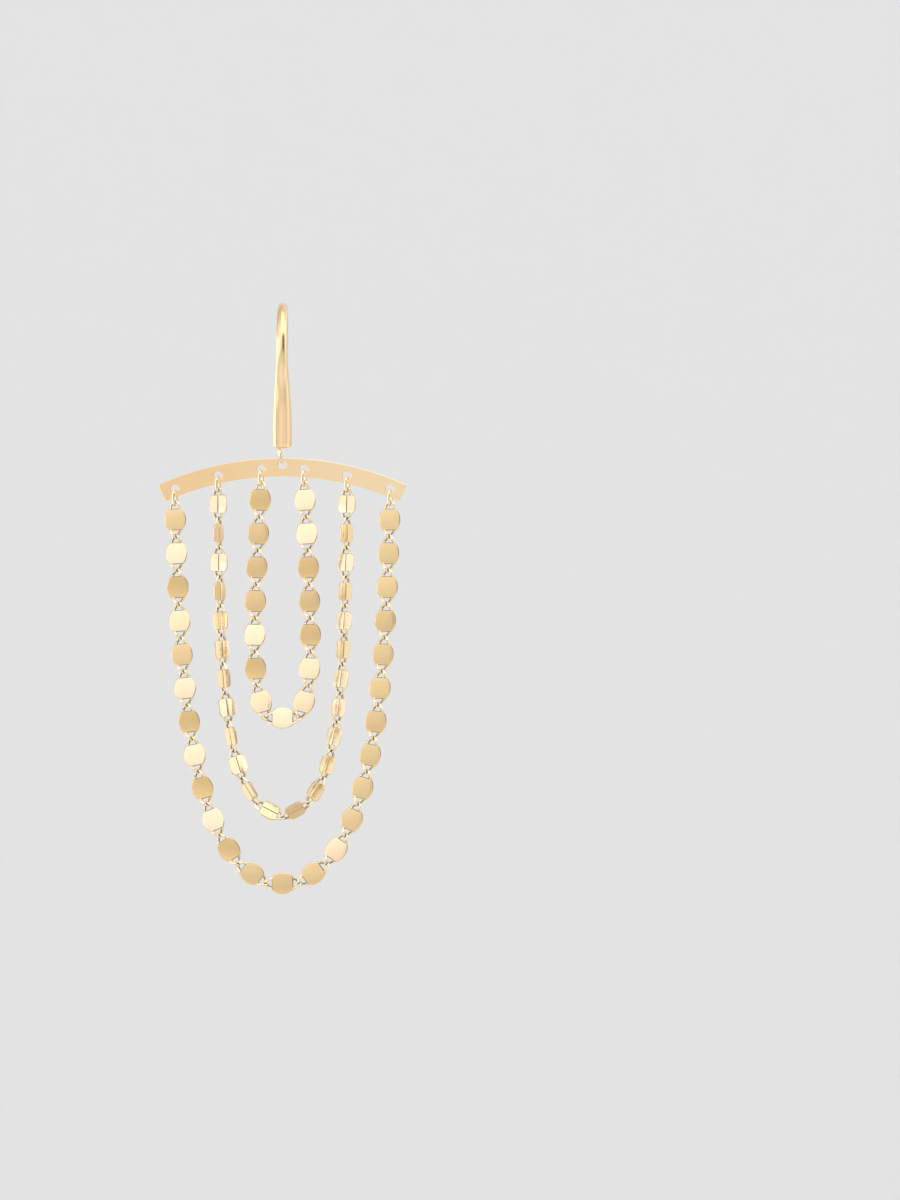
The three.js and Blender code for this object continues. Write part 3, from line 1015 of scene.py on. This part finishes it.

# %% [markdown]
# ## How each link catches the light
# No two links of a real chain hang quite alike. A link that leans up to the light looks cream,
# a level one tan, and one that leans down a darker tan. Each chain has one letter to a link,
# and each letter stands for a small lean, a small turn and a tone of the alloy, painted paler as
# a reflection on some links and darker as shade on others. Two gentle waves along the chain add
# a sway to the lean and the turn, so no two neighbours are equal.

# %% Leans
# the tints paint light into the alloy: paler ones paint a reflection, darker ones paint shade
LEANS = {  # lean up and turn in degrees, tint
    "c": (10.5, 0.0, (0.96, 0.77, 0.54)),
    "y": (9.5, 2.0, (0.98, 0.75, 0.50)),
    "l": (5.5, -1.5, (0.97, 0.75, 0.44)),
    "t": (0.0, 0.0, (0.98, 0.73, 0.40)),
    "m": (-3.0, 1.0, (0.98, 0.71, 0.38)),
    "d": (-6.0, 0.0, (0.97, 0.69, 0.34)),
    "w": (14.0, 0.0, (1.0, 0.86, 0.62)),
    "p": (1.0, 0.0, (0.92, 0.75, 0.50)),
    "q": (5.0, 0.0, (0.88, 0.71, 0.50)),
    "b": (0.0, 0.0, (0.96, 0.69, 0.41)),
    "g": (0.0, 0.0, (0.90, 0.71, 0.43)),
    "h": (0.0, 0.0, (0.66, 0.50, 0.30)),
    "s": (-6.0, 0.0, (0.86, 0.62, 0.35)),
}
WIRE_TINT = (0.97, 0.82, 0.58)
# the colour that painted shade goes to, where links crowd together
PAINTED_SHADE_COLOUR = (0.17, 0.135, 0.065)
LEAN_SWAY = (1.2, 2.1, 0.5)  # most in degrees, step from link to link, start
TURN_SWAY = (1.6, 1.3, 0.0)
OUTER_LEANS = "tcdytcdcdcdtmtytttmttmttt"
MIDDLE_LEANS = "cbctlphqhyhgsggwcwgwgwtc"
INNER_LEANS = "dmmmcdycyydmdcc"


def leaned(offset, lean, turn, hold):
    """Where a point goes, from its link's middle, as the plate leans up and turns right."""
    back = math.tan(lean) * offset.z + math.tan(turn) * offset.x
    return offset + Vector((0, back * hold, 0))


def sway(wave, number):
    """How far a gentle wave along the chain moves a link, in degrees."""
    most, step, start = wave
    return most * math.sin(step * number + start)


print("cream links in the outer chain:", OUTER_LEANS.count("c") + OUTER_LEANS.count("y"))

# %% [markdown]
# ## The three chains
# One link is made for each kind of chain, and a copy goes to every place along the curve. The
# first and last links keep their outer arch turned to suit the end ring. The seamed links
# turn by a quarter each time, and the whole middle chain also turns slowly as it hangs. Where
# a seamed link shows its narrow side, its near leaf hides most of the seam, so its plate gets
# less painted shade.

# %% The middle chain's turn
# how much painted shade a seamed plate keeps when it shows its narrow side, and where it fades
SEAM_HIDDEN = 0.25
HIDDEN_BELOW, SHOWN_ABOVE = 0.62, 0.88
SEAMED_TURNS = ((1, 25), (2, 26), (4, 32), (5, 42), (10, 60), (13, 45), (21, 50), (23, 53),
                (24, 62))  # link, degrees


def seamed_turn(number):
    """A seamed link's turn about the chain, between the table's rows, in radians."""
    for (before, a), (after, b) in zip(SEAMED_TURNS, SEAMED_TURNS[1:]):
        if before <= number <= after:
            turn = a + (b - a) * (number - before) / (after - before)
    return math.radians(turn + 90 * (number % 2 == 0))


def seam_shown(turn):
    """How much painted shade shows on a seamed link's plate at a turn, from SEAM_HIDDEN to 1."""
    facing = smooth_step(abs(math.cos(turn)), HIDDEN_BELOW, SHOWN_ABOVE)
    return SEAM_HIDDEN + (1 - SEAM_HIDDEN) * facing


print("seam shown from link to link:", [round(seam_shown(seamed_turn(n)), 2) for n in (1, 2, 3)])


# %% Painted tones and painted shade, face by face
def paint_tones_and_shade(faces, layers, tone_and_painted_light, shown):
    """Gives a link's faces their painted tone, and the painted shade of crowded places where it
    shows.
    """
    wire_layer, painted_shade_layer, tone_and_painted_light_layer = layers
    for face in faces:
        on_wire = face[wire_layer] > 0.5
        dark = face[painted_shade_layer] * (1.0 if on_wire else shown)
        painted_colour = Vector(WIRE_TINT if on_wire else tone_and_painted_light).lerp(Vector(PAINTED_SHADE_COLOUR), dark)
        for loop in face.loops:
            loop[tone_and_painted_light_layer] = (*painted_colour, 1)


print("a half dark wire is tinted", [round(v, 2) for v in
                                     Vector(WIRE_TINT).lerp(Vector(PAINTED_SHADE_COLOUR), 0.5)])

# %% Hanging a chain
RING_REST = 0.245


def hang_chain(name, node, link, plate, span, rise, leans):
    """Hangs a chain between its two holes, link by link, as one piece."""
    twist, count = link["twist"], len(leans)
    end_twist = RING_YAW if twist else 0.0
    plain = whole_link(link, plate, twist, twist)
    ends = {0: whole_link(link, plate, end_twist, twist),
            count - 1: whole_link(link, plate, twist, end_twist)}
    edge = (link["pitch"] - link["joint"]) / 2
    reach = edge + link["joint"] / 2
    chain = bmesh.new()
    wire_layer = chain.faces.layers.float.new("wire")
    painted_shade_layer = chain.faces.layers.float.new("dark")
    tone_and_painted_light_layer = chain.loops.layers.float_color.new("tone_and_painted_light")
    cursor = Vector((-span, DROP_Y, lower_hole_z(span) + RING["bottom"] + RING_REST))
    for i, angle in enumerate(link_angles(count, rise, span, link["pitch"])):
        along = Vector((math.cos(angle), 0, math.sin(angle)))
        lean, turn, tone_and_painted_light = LEANS[leans[i]]
        lean = math.radians(lean + sway(LEAN_SWAY, i))
        turn = math.radians(turn + sway(TURN_SWAY, i))
        first_face, first_corner = len(chain.faces), len(chain.verts)
        chain.from_mesh(ends.get(i, plain))
        chain.verts.ensure_lookup_table()
        chain.faces.ensure_lookup_table()
        corners = chain.verts[first_corner:]
        quarter = 0.0 if twist else seamed_turn(i + 1)
        place = Matrix.Rotation(up - angle, 3, "Y") @ Matrix.Rotation(quarter, 3, "Z")
        middle = cursor + along * link["pitch"] / 2
        for corner in corners:
            hold = 1 - smooth_step(abs(corner.co.z), edge, reach)
            corner.co = middle + leaned(place @ corner.co, lean, turn, hold)
        # the link's painted tone, and painted shade where links crowd together
        paint_tones_and_shade(chain.faces[first_face:], (wire_layer, painted_shade_layer, tone_and_painted_light_layer), tone_and_painted_light,
                   seam_shown(quarter))
        cursor += along * link["pitch"]
    for mesh in (plain, *ends.values()):
        bpy.data.meshes.remove(mesh)
    make_piece(name, chain, "drop", "chain_gold", node)


print("a chain starts", RING_REST, "mm above the middle of its ring's lowest wire")

# %% Three chains
hang_chain("outer_mirror_chain", "outer_chain", FLAT_LINK, oval_plate,
           HOLE_SPANS[2], OUTER_RISE, OUTER_LEANS)
hang_chain("middle_seamed_chain", "middle_chain", SEAMED_LINK, seamed_plate,
           HOLE_SPANS[1], MIDDLE_RISE, MIDDLE_LEANS)
hang_chain("inner_mirror_chain", "inner_chain", FLAT_LINK, oval_plate,
           HOLE_SPANS[0], INNER_RISE, INNER_LEANS)

# %% [markdown]
# ## Last look
# The finished earring must stay in the box of its plain solids, so both boxes are printed at
# the end.

# %% Sizes
boxes = {"cad": [list(corner) for corner in CAD_BOX],
         "visual": [list(corner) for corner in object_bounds()]}
for name, (low, high) in boxes.items():
    print(name, "box in mm:", [round(v / MM, 2) for v in low], [round(v / MM, 2) for v in high])
